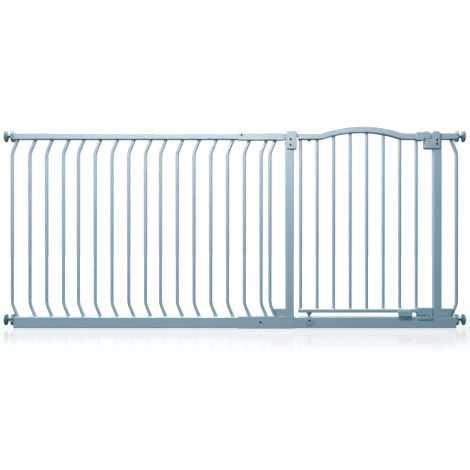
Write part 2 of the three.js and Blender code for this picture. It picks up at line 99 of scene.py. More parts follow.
def surfacePiece(name, grid, closeRows=False, smoothAngle=38):
    # a grid of rows closed around its columns; open rows end in flat caps
    rows, cols = grid.shape[:2]
    faces = gridFaces(rows, cols, closeRows, True)
    points = grid.reshape(-1, 3)
    caps = [] if closeRows else [list(range(cols))[::-1], list(range((rows - 1) * cols, rows * cols))]
    shifted = points - points.mean(0)
    if enclosedVolume(shifted, faces) < 0:
        faces = faces[:, ::-1]
        caps = [c[::-1] for c in caps]
    return meshObject(name, points, faces, caps, smoothAngle)


def gridSoup(grids):
    # several closed grids of one size, as one list of points and faces
    rows, cols = grids.shape[1:3]
    faces = gridFaces(rows, cols, True, True)
    first = grids[0].reshape(-1, 3)
    if enclosedVolume(first - first.mean(0), faces) < 0:
        faces = faces[:, ::-1]
    offsets = np.arange(len(grids))[:, None, None] * rows * cols
    return grids.reshape(-1, 3), (faces[None] + offsets).reshape(-1, 4)


def circle(radius, sides):
    # the cosine and sine of evenly spaced angles, times the radius
    turn = np.linspace(0, 2 * np.pi, sides, endpoint=False)
    return radius * np.stack([np.cos(turn), np.sin(turn)], -1)


def roundedCorners(corners, radii, steps=6, hold=0.0003):
    # each corner of an outline becomes an arc that touches both of its sides
    corners = np.asarray(corners, float)
    radii = np.broadcast_to(radii, len(corners))
    loop = []
    for before, here, after, radius in zip(np.roll(corners, 1, 0), corners, np.roll(corners, -1, 0), radii):
        toBefore, toAfter = before - here, after - here
        toBefore /= np.linalg.norm(toBefore)
        toAfter /= np.linalg.norm(toAfter)
        half = math.acos(np.clip(toBefore @ toAfter, -1, 1)) / 2
        if radius <= 0 or half > math.radians(89):
            loop.append(here[None])
            continue
        centre = here + (toBefore + toAfter) / np.linalg.norm(toBefore + toAfter) * radius / math.sin(half)
        reach = radius / math.tan(half)
        start, end = here + toBefore * reach - centre, here + toAfter * reach - centre
        share = np.linspace(0, 1, steps + 1)[:, None]
        sweep = math.pi - 2 * half
        arc = (np.sin((1 - share) * sweep) * start + np.sin(share * sweep) * end) / math.sin(sweep)
        # a point just before and after the arc keeps the flats beside it flat
        loop.append(centre + np.concatenate([start[None] + toBefore * hold, arc, end[None] + toAfter * hold]))
    return np.concatenate(loop)


def rectangle(width, height, radius):
    # four corners half a width and half a height from the middle, each rounded
    w, h = width / 2, height / 2
    return roundedCorners([(-w, -h), (w, -h), (w, h), (-w, h)], radius)


def inwards(loop):
    # unit vectors that point into a loop that runs anticlockwise
    along = np.roll(loop, -1, 0) - np.roll(loop, 1, 0)
    along /= np.linalg.norm(along, axis=1)[:, None]
    return np.stack([-along[:, 1], along[:, 0]], -1)


def carried(loop, path):
    # an outline carried along a path in the XZ plane: its first axis is the path's normal, its second is Y
    tangent = np.gradient(path, axis=0)
    tangent /= np.linalg.norm(tangent, axis=1)[:, None]
    normal = np.stack([-tangent[:, 2], 0 * tangent[:, 0], tangent[:, 0]], -1)
    depth = np.array([0.0, 1.0, 0.0])
    return path[:, None] + loop[None, :, :1] * normal[:, None] + loop[None, :, 1:] * depth


def alongX(stations, z=0.0):
    # a straight path at one height
    stations = np.asarray(stations, float)
    return np.stack([stations, 0 * stations, 0 * stations + z], -1)


def easedEnds(loop, path, ease, rows=(0, -1)):
    # the same as carried, with the end rows drawn in so that the cut ends aren't sharp
    grid = carried(loop, path)
    turned = anticlockwise(loop)
    drawn = turned + inwards(turned) * ease
    drawn = drawn if turned is loop else drawn[::-1]
    for row in rows:
        grid[row] = carried(drawn, path)[row]
    return grid


def endsAt(grid, path, low, high):
    # slides the end rows along the path until they lie in two level planes
    for row, step, plane in ((0, path[1] - path[0], low), (-1, path[-1] - path[-2], high)):
        grid[row] += (plane - grid[row][:, 2:]) / step[2] * step
    return grid


def hollowTube(name, outer, inner, path, ease):
    # one closed skin: out along the outside with its cut ends eased, back along the inside
    grid = np.concatenate([easedEnds(outer, path, ease), carried(inner, path)[::-1]])
    return surfacePiece(name, grid, closeRows=True)


def turnedAbout(axis, profile, centre, sides=48, lobes=None):
    # a profile of (radius, place along the axis) turned about a line; lobes scales the radius by angle
    profile = np.asarray(profile, float)
    turn = np.linspace(0, 2 * np.pi, sides, endpoint=False)
    radius = profile[:, :1] * (np.ones(sides) if lobes is None else lobes(turn, profile[:, :1]))
    a, b = radius * np.cos(turn), radius * np.sin(turn)
    along = np.broadcast_to(profile[:, 1:], a.shape)
    order = {"x": (along, a, b), "y": (a, along, b), "z": (a, b, along)}[axis]
    return np.stack(order, -1) + np.asarray(centre)


def arcProfile(centre, radius, start, end, steps=6):
    # the centre plus the radius times the cosine and sine, from one angle in degrees to the other
    turn = np.radians(np.linspace(start, end, steps + 1))
    return list(zip(centre[0] + radius * np.cos(turn), centre[1] + radius * np.sin(turn)))


def pillowGrid(loop, y0, y1, edge, steps=4):
    # an XZ outline carried from y0 to y1, drawn in by a quarter round at both ends,
    # with a row on each side to keep the flats beside it flat
    turn = np.linspace(0, np.pi / 2, steps + 1)
    inset = np.concatenate([[edge + 0.0003], edge * (1 - np.sin(turn)), [0.0]])
    depth = np.concatenate([[0.0], edge * (1 - np.cos(turn)), [edge + 0.0003]])
    inset, depth = np.concatenate([inset, inset[::-1]]), np.concatenate([y0 + depth, y1 - depth[::-1]])
    flat = loop[None] + inwards(loop)[None] * inset[:, None, None]
    y = np.broadcast_to(depth[:, None], flat.shape[:2])
    return np.stack([flat[..., 0], y, flat[..., 1]], -1)


def anticlockwise(loop):
    # turns an outline round if the area its points enclose comes out negative
    x, z = loop[:, 0], loop[:, 1]
    area = (x * np.roll(z, -1) - np.roll(x, -1) * z).sum()
    return loop if area > 0 else loop[::-1]


def pillow(name, corners, radii, y0, y1, edge=0.0012, steps=6):
    # an outline with rounded corners, carried from y0 to y1 with rounded edges
    loop = roundedCorners(corners, radii, steps)
    return surfacePiece(name, pillowGrid(anticlockwise(loop), y0, y1, edge), smoothAngle=50)


def blockPiece(name, low, high):
    # a box between two opposite corners
    corners = np.array([(low[0], low[2]), (high[0], low[2]), (high[0], high[2]), (low[0], high[2])], float)
    ends = np.array([low[1], high[1]], float)
    grid = np.stack([*np.broadcast_arrays(corners[None, :, 0], ends[:, None], corners[None, :, 1])], -1)
    return surfacePiece(name, grid)


def rodPiece(name, axis, radius, low, high, centre, sides=32):
    # a cylinder: one radius turned about an axis between two places
    return surfacePiece(name, turnedAbout(axis, [(radius, low), (radius, high)], centre, sides))


def carve(piece, cutters, operation="DIFFERENCE"):
    # cuts or joins solids, and keeps only the finished mesh
    for cutter in cutters:
        step = piece.modifiers.new("carve", "BOOLEAN")
        step.operation = operation
        step.solver = "EXACT"
        step.object = cutter
    bpy.context.view_layer.update()
    finished = bpy.data.meshes.new_from_object(piece.evaluated_get(bpy.context.evaluated_depsgraph_get()))
    old = piece.data
    piece.modifiers.clear()
    piece.data = finished
    finished.name = piece.name
    bpy.data.meshes.remove(old)
    for cutter in cutters:
        bpy.data.objects.remove(cutter)
    finished.polygons.foreach_set("use_smooth", np.ones(len(finished.polygons), bool))
    finished.set_sharp_from_angle(angle=math.radians(38))
    return piece


def finish(piece, material, body, *nodes):
    # gives a piece its material and the body it rides on, and hides the nodes it stands in for
    piece.data.materials.clear()
    piece.data.materials.append(material)
    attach(piece, body)
    if nodes:
        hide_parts(*nodes)


# finishes

def nodeTree(name):
    # a new material with its shader and the object's own coordinates
    material = bpy.data.materials.new(name)
    material.use_nodes = True
    tree = material.node_tree
    shader = tree.nodes["Principled BSDF"]
    place = tree.nodes.new("ShaderNodeTexCoord").outputs["Object"]
    return material, tree, shader, place


def settings(node, values):
    for key, value in values.items():
        node.inputs[key].default_value = value


def noise(tree, place, scale, detail=3.0, roughness=0.55):
    # layered noise at so many cells a metre
    node = tree.nodes.new("ShaderNodeTexNoise")
    settings(node, {"Scale": scale, "Detail": detail, "Roughness": roughness})
    tree.links.new(place, node.inputs["Vector"])
    return node.outputs["Fac"]


def between(tree, value, low, high, fromLow=0.3, fromHigh=0.7):
    # stretches one range of a value to another
    node = tree.nodes.new("ShaderNodeMapRange")
    settings(node, {"From Min": fromLow, "From Max": fromHigh, "To Min": low, "To Max": high})
    tree.links.new(value, node.inputs["Value"])
    return node.outputs["Result"]


def colourBlend(tree, value, first, second):
    # the first colour where the value is 0, the second where it is 1
    node = tree.nodes.new("ShaderNodeMix")
    node.data_type = "RGBA"
    tree.links.new(value, node.inputs[0])
    for socket, colour in ((node.inputs[6], first), (node.inputs[7], second)):
        if isinstance(colour, tuple):
            socket.default_value = (*colour, 1)
        else:
            tree.links.new(colour, socket)
    return node.outputs[2]


def bumps(tree, shader, layers):
    # stacks height fields, each with its own depth in metres
    normal = None
    for height, depth, strength in layers:
        node = tree.nodes.new("ShaderNodeBump")
        settings(node, {"Distance": depth, "Strength": strength})
        tree.links.new(height, node.inputs["Height"])
        if normal is not None:
            tree.links.new(normal, node.inputs["Normal"])
        normal = node.outputs["Normal"]
    tree.links.new(normal, shader.inputs["Normal"])


powderCoat = {
    "frameLight": (0.316, 0.456, 0.555),
    "frameDeep": (0.282, 0.420, 0.516),
    "doorLight": (0.318, 0.452, 0.548),
    "doorDeep": (0.284, 0.417, 0.508),
    "dust": (0.44, 0.53, 0.57),
    "metallic": 0.30,
    "coat": 0.25,
    "coatRough": 0.22,
    "roughLow": 0.32,
    "roughHigh": 0.38,
    "peelScale": 420.0,
    "grainScale": 2600.0,
}


def paintFinish(name, light, deep):
    # powder coat: a slow drift of tone, orange peel, fine grain and a trace of dust near the floor
    look = powderCoat
    material, tree, shader, place = nodeTree(name)
    drift = between(tree, noise(tree, place, 7.0, 4.0), 0.0, 1.0)
    fleck = between(tree, noise(tree, place, 900.0, 2.0), 0.0, 0.22, 0.35, 0.65)
    tone = colourBlend(tree, drift, light, deep)
    tone = colourBlend(tree, fleck, tone, look["dust"])
    height = tree.nodes.new("ShaderNodeSeparateXYZ")
    tree.links.new(place, height.inputs[0])
    nearFloor = between(tree, height.outputs["Z"], 0.16, 0.0, 0.0, 0.09)
    tone = colourBlend(tree, nearFloor, tone, look["dust"])
    tree.links.new(tone, shader.inputs["Base Color"])
    smear = between(tree, noise(tree, place, 26.0, 5.0), look["roughLow"], look["roughHigh"])
    tree.links.new(smear, shader.inputs["Roughness"])
    settings(shader, {"Metallic": look["metallic"], "Coat Weight": look["coat"], "Coat Roughness": look["coatRough"]})
    bumps(tree, shader, [
        (noise(tree, place, look["peelScale"], 2.0), 0.00006, 0.2),
        (noise(tree, place, look["grainScale"], 2.0), 0.00003, 0.2),
    ])
    return material


def mouldedFinish(name, light, deep, rough, grainScale=1500.0, grainDepth=0.00006):
    # moulded plastic: fine spark-eroded grain, slow tone drift, faint rub marks
    material, tree, shader, place = nodeTree(name)
    drift = between(tree, noise(tree, place, 18.0, 3.0), 0.0, 1.0)
    tree.links.new(colourBlend(tree, drift, light, deep), shader.inputs["Base Color"])
    rub = between(tree, noise(tree, place, 90.0, 6.0, 0.7), rough - 0.06, rough + 0.08)
    tree.links.new(rub, shader.inputs["Roughness"])
    bumps(tree, shader, [
        (noise(tree, place, grainScale, 3.0, 0.6), grainDepth, 0.35),
        (noise(tree, place, 240.0, 2.0), 0.00010, 0.12),
    ])
    return material


def steelFinish(name, light, deep, rough):
    # plated steel: fine turned streaks round the part and a little tarnish
    material, tree, shader, place = nodeTree(name)
    stretch = tree.nodes.new("ShaderNodeMapping")
    stretch.inputs["Scale"].default_value = (1.0, 0.08, 0.08)
    tree.links.new(place, stretch.inputs["Vector"])
    streaks = noise(tree, stretch.outputs["Vector"], 3200.0, 3.0)
    tarnish = between(tree, noise(tree, place, 160.0, 4.0), 0.0, 1.0)
    tree.links.new(colourBlend(tree, tarnish, light, deep), shader.inputs["Base Color"])
    tree.links.new(between(tree, streaks, rough - 0.08, rough + 0.1), shader.inputs["Roughness"])
    shader.inputs["Metallic"].default_value = 0.92
    bumps(tree, shader, [(streaks, 0.00003, 0.2)])
    return material


framePaint = paintFinish("frame_powder_coat", powderCoat["frameLight"], powderCoat["frameDeep"])
doorPaint = paintFinish("door_powder_coat", powderCoat["doorLight"], powderCoat["doorDeep"])
coverPlastic = mouldedFinish("cover_plastic", (0.246, 0.374, 0.448), (0.224, 0.346, 0.420), 0.40)
sliderPlastic = mouldedFinish("slider_plastic", (0.205, 0.305, 0.355), (0.180, 0.275, 0.325), 0.46)
nutPlastic = mouldedFinish("nut_plastic", (0.150, 0.265, 0.315), (0.122, 0.228, 0.275), 0.40, 1100.0)
padRubber = mouldedFinish("pad_rubber", (0.070, 0.160, 0.190), (0.055, 0.132, 0.160), 0.58, 800.0, 0.0001)
plugPlastic = mouldedFinish("plug_plastic", (0.05, 0.065, 0.075), (0.035, 0.05, 0.06), 0.5)
zincSteel = steelFinish("zinc_steel", (0.105, 0.155, 0.175), (0.070, 0.110, 0.130), 0.40)
darkSteel = steelFinish("blackened_steel", (0.045, 0.055, 0.065), (0.03, 0.035, 0.045), 0.42)
print("finishes made")

# camera, light and floor

shot = {
    "target": (0.0008, 0.0, 0.361),
    "distance": 2.532,
    "lens": 50.0,
    "floorRadius": 9.0,
    "floorHeight": -0.0008,
}
camera = bpy.data.objects.new("camera", bpy.data.cameras.new("camera"))
camera.data.lens = shot["lens"]
camera.data.sensor_width = 36.0
camera.location = (shot["target"][0], -shot["distance"], shot["target"][2])
camera.rotation_euler = (math.pi / 2, 0, 0)
scene.collection.objects.link(camera)
scene.camera = camera


def areaLight(name, place, aim, size, power, colour):
    # a flat rectangular lamp that faces its aim and stays out of sight
    lamp = bpy.data.lights.new(name, "AREA")
    lamp.shape = "RECTANGLE"
    lamp.size, lamp.size_y = size
    lamp.energy = power
    lamp.color = colour
    light = bpy.data.objects.new(name, lamp)
    light.location = place
    light.rotation_euler = (Vector(aim) - Vector(place)).to_track_quat("-Z", "Y").to_euler()
    light.visible_camera = False
    scene.collection.objects.link(light)


# each has its place, aim, size in metres, watts and colour
studioLights = {
    "key": ((-0.2, -0.75, 1.55), (-0.2, 0, 0.6), (1.3, 0.35), 45, (1.0, 0.70, 0.56)),
    "left": ((-2.6, -1.5, 1.0), (0.0, 0, 0.4), (1.2, 1.6), 3, (0.9, 0.95, 1.0)),
    "back": ((0.1, 1.7, 1.8), (0.1, 0, 0.4), (2.6, 0.8), 75, (1.0, 0.76, 0.62)),
    "over": ((0.0, 0.25, 2.4), (0.0, 0, 0.3), (3.2, 0.8), 40, (1.0, 0.95, 0.9)),
}
for name, values in studioLights.items():
    areaLight(name, *values)

world = bpy.data.worlds.new("studio")
scene.world = world
world.use_nodes = True
sky = world.node_tree
skyShade = sky.nodes["Background"]
skyShade.inputs["Strength"].default_value = 0.82
# the room's own light: bright above and to the left, dim and bluer below and to the right
heading = sky.nodes.new("ShaderNodeTexCoord").outputs["Generated"]
tilt = sky.nodes.new("ShaderNodeVectorMath")
tilt.operation = "DOT_PRODUCT"
tilt.inputs[1].default_value = (-0.34, 0.0, 0.92)
sky.links.new(heading, tilt.inputs[0])
upward = between(sky, tilt.outputs["Value"], 0.0, 1.0, -0.38, 0.42)
roomLight = colourBlend(sky, upward, (0.045, 0.10, 0.14), (0.52, 0.92, 1.06))
sky.links.new(roomLight, skyShade.inputs["Color"])
plainWhite = sky.nodes.new("ShaderNodeBackground")
settings(plainWhite, {"Color": (1, 1, 1, 1), "Strength": 1.0})
seen = sky.nodes.new("ShaderNodeLightPath")
choose = sky.nodes.new("ShaderNodeMixShader")
sky.links.new(seen.outputs["Is Camera Ray"], choose.inputs[0])
sky.links.new(skyShade.outputs[0], choose.inputs[1])
sky.links.new(plainWhite.outputs[0], choose.inputs[2])
sky.links.new(choose.outputs[0], sky.nodes["World Output"].inputs["Surface"])


def studioFloor():
    # a wide pale disc, slightly glossy, so the gate has a weak mirror image under it
    turn = np.linspace(0, 2 * np.pi, 96, endpoint=False)
    rings = np.array([0.0005, 0.4, 1.0, 2.0, 4.0, shot["floorRadius"]])[:, None]
    grid = np.stack([rings * np.cos(turn), rings * np.sin(turn), np.full((6, 96), shot["floorHeight"])], -1)
    floor = meshObject("floor", grid, gridFaces(6, 96, False, True), [list(range(96))])
    material, tree, shader, place = nodeTree("floor_white")
    mottle = between(tree, noise(tree, place, 3.0, 3.0), 0.0, 1.0)
    tone = colourBlend(tree, mottle, (0.020, 0.020, 0.021), (0.030, 0.030, 0.031))
    tree.links.new(tone, shader.inputs["Base Color"])
    settings(shader, {"Roughness": 0.12, "Specular IOR Level": 0.5, "Specular Tint": (1.0, 0.92, 0.89, 1),
                      "Emission Color": (0.80, 0.775, 0.765, 1)})
    # painted shade: the floor's glow is a little dimmer under the gate, like a contact shadow, where its mirror image
    # lies
    parted = tree.nodes.new("ShaderNodeSeparateXYZ")
    tree.links.new(place, parted.inputs[0])
    apart = tree.nodes.new("ShaderNodeMath")
    apart.operation = "ABSOLUTE"
    tree.links.new(parted.outputs["Y"], apart.inputs[0])
    # painted shade: emission strength 0.90 within 0.28 m of the gate's line, rising to 1.22 beyond 0.75 m
    glowWithPaintedShade = between(tree, apart.outputs["Value"], 0.90, 1.22, 0.28, 0.75)
    tree.links.new(glowWithPaintedShade, shader.inputs["Emission Strength"])
    floor.data.materials.append(material)
    floor.visible_diffuse = False
    floor.visible_glossy = False  # the gate must not mirror it


studioFloor()
print("camera, lights and floor set")

# shared sizes, read from the frame

topRail = lowHigh("extension_top_rail")
lowRail = lowHigh("extension_bottom_rail")
frameRail = lowHigh("frame_bottom_rail")
railTop, railUnder = topRail[1][2], topRail[0][2]
floorRailTop = lowRail[1][2]
railMiddle = (railTop + railUnder) / 2
halfDepth = topRail[1][1]
fitGap = 0.0003
coverInner = halfDepth + fitGap
hingeAxis = midOf(lowHigh("lower_pivot_stem"), 0)
lastBarX = midOf(lowHigh("door_bar_8"), 0)
barNotch = 0.0063

# bowed bars

bowedBars = {
    "bow": 0.021,
    "bendHeight": 0.051,
    "bendRadius": 0.070,
    "radius": 0.0065,
    "sides": 28,
    "bendSteps": 14,
    "weldRadius": 0.0013,
}
bowAngle = math.atan(bowedBars["bow"] / bowedBars["bendHeight"])


def bowedPath(foot, side):
    # straight from the foot, round a bend into the upright, and the same mirrored above
    size = bowedBars
    turned = np.linspace(bowAngle, 0, size["bendSteps"] + 1)
    along = size["bendRadius"] * (np.sin(turned) - math.tan(bowAngle / 2))
    x = foot + side * (size["bow"] - size["bendRadius"] * (1 - np.cos(turned)))
    low = np.stack([x, 0 * x, floorRailTop + size["bendHeight"] - along], -1)
    high = np.stack([x, 0 * x, railUnder - size["bendHeight"] + along], -1)[::-1]
    ends = [np.array([[foot, 0.0, z]]) for z in (floorRailTop, railUnder)]
    return np.concatenate([ends[0], low, high, ends[1]])


def weldRing(middle, height, halfWidth, halfDeep, radius, seed):
    # a small ring that follows the bar's cut outline, a little thicker and thinner round its way
    turn = np.linspace(0, 2 * np.pi, 40, endpoint=False)[:, None]
    around = np.linspace(0, 2 * np.pi, 8, endpoint=False)[None]
    thick = radius * (1 + 0.16 * np.sin(7 * turn + seed) + 0.1 * np.sin(11 * turn + 2 * seed))
    reach = 0.35 * radius + thick * np.cos(around)
    x = middle + (halfWidth + reach) * np.cos(turn)
    y = (halfDeep + reach) * np.sin(turn)
    z = height(x) + thick * np.sin(around) * 0.8
    return np.stack([x, y, z], -1)


frameFeet = []
for label in [f"extension_bar_{k:02d}" for k in range(1, 17)] + ["hinge_side_bar", "latch_side_bar"]:
    low, high = lowHigh(label)
    side = 1 if label.startswith("latch") else -1
    size = bowedBars
    middle = low[0] + size["radius"] if side < 0 else high[0] - size["radius"]
    foot = middle - side * size["bow"]
    path = bowedPath(foot, side)
    grid = endsAt(carried(circle(size["radius"], size["sides"]), path), path, floorRailTop, railUnder)
    bar = surfacePiece(label + "_tube", grid)
    finish(bar, framePaint, "gate_frame", label)
    frameFeet.append(foot)
print("bowed bars:", len(frameFeet))

welds = []
for k, foot in enumerate(frameFeet):
    wide = bowedBars["radius"] / math.cos(bowAngle)
    for plane in (floorRailTop, railUnder):
        welds.append(weldRing(foot, lambda x, z=plane: np.full_like(x, z), wide, bowedBars["radius"],
                              bowedBars["weldRadius"], k + 40 * plane))
points, faces = gridSoup(np.array(welds))
finish(meshObject("frame_bar_welds", points, faces), framePaint, "gate_frame")

# rails and tubes

railTubes = {
    "corner": 0.0034,
    "wall": 0.0015,
    "cutEdge": 0.0004,
}


def squareSections(height):
    # a tube's outer and inner outlines, one wall apart
    size = railTubes
    outer = rectangle(height, 2 * halfDepth, size["corner"])
    inner = rectangle(height - 2 * size["wall"], 2 * (halfDepth - size["wall"]), size["corner"] - size["wall"])
    return outer, inner


def squareTube(name, low, high):
    # a rounded section carried along the rail, with a row beside each end to hold the eased edge
    ease = railTubes["cutEdge"]
    stations = [low[0], low[0] + ease, low[0] + 2 * ease, high[0] - 2 * ease, high[0] - ease, high[0]]
    path = alongX(stations, (low[2] + high[2]) / 2)
    return hollowTube(name, *squareSections(high[2] - low[2]), path, ease)


for label in ("extension_top_rail", "extension_bottom_rail", "hinge_side_top_tube", "latch_side_top_tube"):
    finish(squareTube(label + "_tube", *lowHigh(label)), framePaint, "gate_frame", label)

socketBox = lowHigh("lower_hinge_socket")
socketCentre = (hingeAxis, 0.0, midOf(socketBox, 2))
bottomTube = squareTube("frame_bottom_rail_tube", *frameRail)
socketCut, stemCut = 0.0133, 0.005
carve(bottomTube, [
    rodPiece("socket_cut", "y", socketCut, -0.03, 0.0, socketCentre, 48),
    rodPiece("stem_cut", "z", stemCut, 0.0, 0.03, socketCentre, 40),
])
finish(bottomTube, framePaint, "gate_frame", "frame_bottom_rail")

endPlugs = {
    "thick": 0.006,
    "sunk": 0.0006,
    "bore": 0.0058,
}


def endPlug(name, x, inwardsSign, z0, z1, boreHeight):
    # a moulded plug just inside a tube's end, with the screw's hole through it
    wall = railTubes["wall"] + 0.00015
    loop = rectangle(z1 - z0 - 2 * wall, 2 * (halfDepth - wall), railTubes["corner"] - railTubes["wall"])
    start = x + inwardsSign * endPlugs["sunk"]
    path = alongX(start + inwardsSign * np.array([0.0, 0.0003, endPlugs["thick"]]), (z0 + z1) / 2)
    plug = surfacePiece(name, easedEnds(loop, path, 0.0003, [0]))
    reach = sorted([start - inwardsSign * 0.002, start + inwardsSign * 0.02])
    return carve(plug, [rodPiece("plug_bore", "x", endPlugs["bore"], reach[0], reach[1], (0, 0, boreHeight), 32)])


for side, end, sign in (("left", float(topRail[0][0]), 1), ("right", float(frameRail[1][0]), -1)):
    for level, z0, z1 in (("upper", railUnder, railTop), ("lower", lowRail[0][2], floorRailTop)):
        plug = endPlug(f"{level}_{side}_end_plug", end, sign, z0, z1, midOf(lowHigh(f"{level}_{side}_spindle"), 2))
        finish(plug, plugPlastic, "gate_frame")
print("rails and end plugs")

# joining channels

channels = {
    "wall": 0.0012,
    "bend": 0.0026,
    "lipRound": 0.00045,
}


def channelPiece(name, openUp):
    # a U section with bent corners, carried along the rail
    size = channels
    low, high = lowHigh(name)
    half = high[1]
    inner = half - size["wall"]
    web = low[2] if openUp else high[2]
    lip = high[2] if openUp else low[2]
    way = 1 if openUp else -1
    corners = [(web, -half), (web, half), (lip, half), (lip, inner), (web + way * size["wall"], inner),
               (web + way * size["wall"], -inner), (lip, -inner), (lip, -half)]
    bend, lipRound = size["bend"], size["lipRound"]
    loop = roundedCorners(corners, [bend, bend, lipRound, lipRound, bend - size["wall"], bend - size["wall"],
                                    lipRound, lipRound], 5, 0.00008)
    grid = easedEnds(loop, alongX([low[0], low[0] + 0.0003, high[0] - 0.0003, high[0]]), 0.00025)
    finish(surfacePiece(name + "_folded", grid), framePaint, "gate_frame", name)


channelPiece("top_joining_channel", False)
channelPiece("bottom_joining_channel", True)

# posts

posts = {
    "width": 0.032,
    "corner": 0.0034,
    "plateHeight": 0.032,
    "plateEdge": 0.0012,
    "topRound": 0.0012,
}


def postPiece(name, side):
    # a closed tube with a rounded top, joined to a foot plate whose outer edge leans like the bowed bars
    size = posts
    low, high = lowHigh(name)
    face = high[0] if side < 0 else low[0]
    middle = face + side * size["width"] / 2
    loop = rectangle(size["width"], 2 * halfDepth, size["corner"])
    ease = size["topRound"]
    heights = np.array([low[2] - fitGap, low[2] + 0.002, high[2] - 2 * ease, high[2] - ease, high[2] - 0.3 * ease,
                        high[2]])
    inset = np.array([0, 0, 0, 0, 0.3 * ease, ease])
    path = np.stack([0 * heights + middle, 0 * heights, heights], -1)
    grid = np.stack([carried(loop + inwards(loop) * draw, path)[k] for k, draw in enumerate(inset)])
    post = surfacePiece(name + "_tube", grid)
    farTop = low[0] if side < 0 else high[0]
    farLow = farTop - side * math.tan(bowAngle) * size["plateHeight"]
    base = low[2] - fitGap
    top = base + fitGap + size["plateHeight"]
    corners = [(middle, base), (farLow, base), (farTop, top), (middle, top)]
    plate = pillow(name + "_foot_plate", corners, [0.0016, 0.0016, 0.0024, 0.0016], -halfDepth, halfDepth,
                   size["plateEdge"])
    carve(post, [plate], "UNION")
    finish(post, framePaint, "gate_frame", name)
    return middle


hingePostMiddle = postPiece("hinge_post", -1)
latchPostMiddle = postPiece("latch_post", 1)
hingePostFace = hingePostMiddle + posts["width"] / 2
latchPostFace = latchPostMiddle - posts["width"] / 2
print("channels and posts")

# screws

screws = {
    "radius": 0.0042,
    "rise": 0.0011,
    "socket": 0.0021,
    "socketDeep": 0.0009,
    "seatDeep": 0.0012,
    "seatGap": 0.0005,
    "sides": 48,
}


def hexScale(turn, radius):
    # inside the socket the circle becomes a hexagon
    corner = np.cos(np.pi / 6) / np.cos(np.mod(turn, np.pi / 3) - np.pi / 6)
    return np.where(radius < screws["socket"] * 1.02, corner, 1.0 + 0 * turn)


def buttonHead(name, x, face, z, way, body):
    # a low dome with a hexagon socket, seated on a face across Y; way is the direction it stands out
    size = screws
    r, rise, s = size["radius"], size["rise"], size["socket"]
    dome = np.linspace(0, 1, 8)
    radius = r - (r - s * 1.35) * dome
    height = rise * np.sin(dome * np.pi / 2)
    profile = [(r, -0.0004), *zip(radius, height), (s * 1.3, rise), (s, rise), (s, rise - size["socketDeep"]),
               (0.0002, rise - size["socketDeep"])]
    profile = [(a, way * b) for a, b in profile]
    head = surfacePiece(name, turnedAbout("y", profile, (x, face, z), size["sides"], hexScale), smoothAngle=30)
    finish(head, darkSteel, body)


def screwSeats(low, high, x, heights):
    # shallow recesses for the heads, in the front and the back of a cover
    seats = []
    for z in heights:
        for face, way in ((low[1], -1), (high[1], 1)):
            ends = sorted([face - way * screws["seatDeep"], face + way * 0.002])
            seats.append(rodPiece("seat", "y", screws["radius"] + screws["seatGap"], *ends, (x, 0, z), 40))
    return seats


def coverScrews(name, low, high, x, heights):
    # one head in each seat
    for k, z in enumerate(heights):
        buttonHead(f"{name}_screw_{k + 1}", x, low[1] + screws["seatDeep"], z, -1, "gate_frame")
        buttonHead(f"{name}_screw_back_{k + 1}", x, high[1] - screws["seatDeep"], z, 1, "gate_frame")


# how far each channel's screw lies from the channel's left end, and its height
channelScrews = {
    "top_joining_channel": (0.0142, 0.748),
    "bottom_joining_channel": (0.0868, 0.0235),
}
for k, (channel, (along, z)) in enumerate(channelScrews.items()):
    (left, front, _), _ = lowHigh(channel)
    buttonHead(f"channel_screw_{k + 1}", float(left) + along, front, z, -1, "gate_frame")
    buttonHead(f"channel_screw_back_{k + 1}", float(left) + along, -front, z, 1, "gate_frame")

# upper hinge

hingeCover = {
    "edge": 0.0016,
    "screwX": 0.2150,
    "screwHeights": (0.7300, 0.7090),
    "armHalf": 0.005,
    "armLow": 0.741,
    "armHigh": 0.752,
    "eye": 0.007,
    "pinBore": 0.0043,
    "pastPost": 0.011,
}


def planOutline(name, loop, z0, z1, edge):
    # the same quarter-rounded slab, laid flat: its outline is in X and Y
    grid = pillowGrid(anticlockwise(loop), z0, z1, edge, 3)[..., [0, 2, 1]]
    return surfacePiece(name, grid, smoothAngle=50)


def upperHinge():
    # a cap over the post's top, hollowed to fit it, and a flat arm that ends in a round eye on the hinge's line
    size = hingeCover
    low, high = lowHigh("upper_hinge_bracket")
    right = hingePostFace + size["pastPost"]
    corners = [(low[0], low[2]), (right, low[2]), (right, high[2]), (low[0], high[2])]
    cover = pillow("upper_hinge_cover", corners, [0.0035, 0.0042, 0.0046, 0.0032], low[1], high[1], size["edge"], 8)
    hollow = blockPiece("hollow", (low[0] - 0.01, -coverInner, low[2] - 0.01),
                        (hingePostFace + fitGap, coverInner, railTop + fitGap))
    carve(cover, [hollow, *screwSeats(low, high, size["screwX"], size["screwHeights"])])
    finish(cover, coverPlastic, "gate_frame", "upper_hinge_bracket")
    coverScrews("hinge_cover", low, high, size["screwX"], size["screwHeights"])
    turn = np.linspace(-np.pi * 0.5, np.pi * 0.5, 21)
    eye = np.stack([hingeAxis + size["eye"] * np.cos(turn), size["eye"] * np.sin(turn)], -1)
    start, neck, half = right - 0.003, hingeAxis - size["eye"], size["armHalf"]
    loop = np.concatenate([[(start, -half), (neck, -half)], eye, [(neck, half), (start, half)]])
    arm = planOutline("upper_hinge_arm", loop, size["armLow"], size["armHigh"], 0.0008)
    carve(arm, [rodPiece("pin_bore", "z", size["pinBore"], size["armLow"] - 0.01, size["armHigh"] + 0.01,
                         (hingeAxis, 0, 0))])
    finish(arm, coverPlastic, "gate_frame")


upperHinge()

